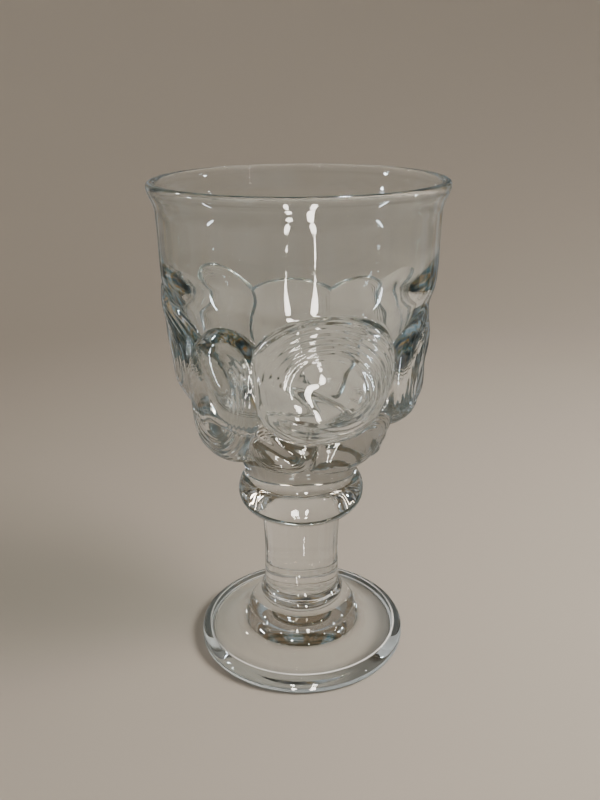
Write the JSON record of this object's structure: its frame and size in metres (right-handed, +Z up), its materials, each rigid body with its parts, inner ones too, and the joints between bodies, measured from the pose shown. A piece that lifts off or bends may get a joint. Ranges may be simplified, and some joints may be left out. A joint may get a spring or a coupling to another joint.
{
  "type": "beer glass",
  "caption": "Heavy footed beer glass in clear pressed glass, with a flared lip and overlapping swollen lobes round the lower bowl, on a ball knop, stem, collar and round foot.",
  "frame": {"origin": "on the table, under the middle of the foot", "axes": "+Z up along the glass's axis, through the middle of the mouth; -Y towards the side with the largest front lobe"},
  "size_m": [0.0882, 0.0882, 0.1565],
  "materials": {
    "foot_glass": "fire-polished clear glass, faintly grey-blue where it is thick",
    "collar_glass": "fire-polished clear glass",
    "stem_glass": "fire-polished clear glass",
    "knop_glass": "fire-polished clear glass",
    "bowl_glass": "fire-polished clear glass with the soft waviness of a pressed wall"
  },
  "bodies": {
    "root": {"foot": "foot_glass", "collar": "collar_glass", "stem": "stem_glass", "knop": "knop_glass", "bowl": "bowl_glass"}
  },
  "joints": []
}
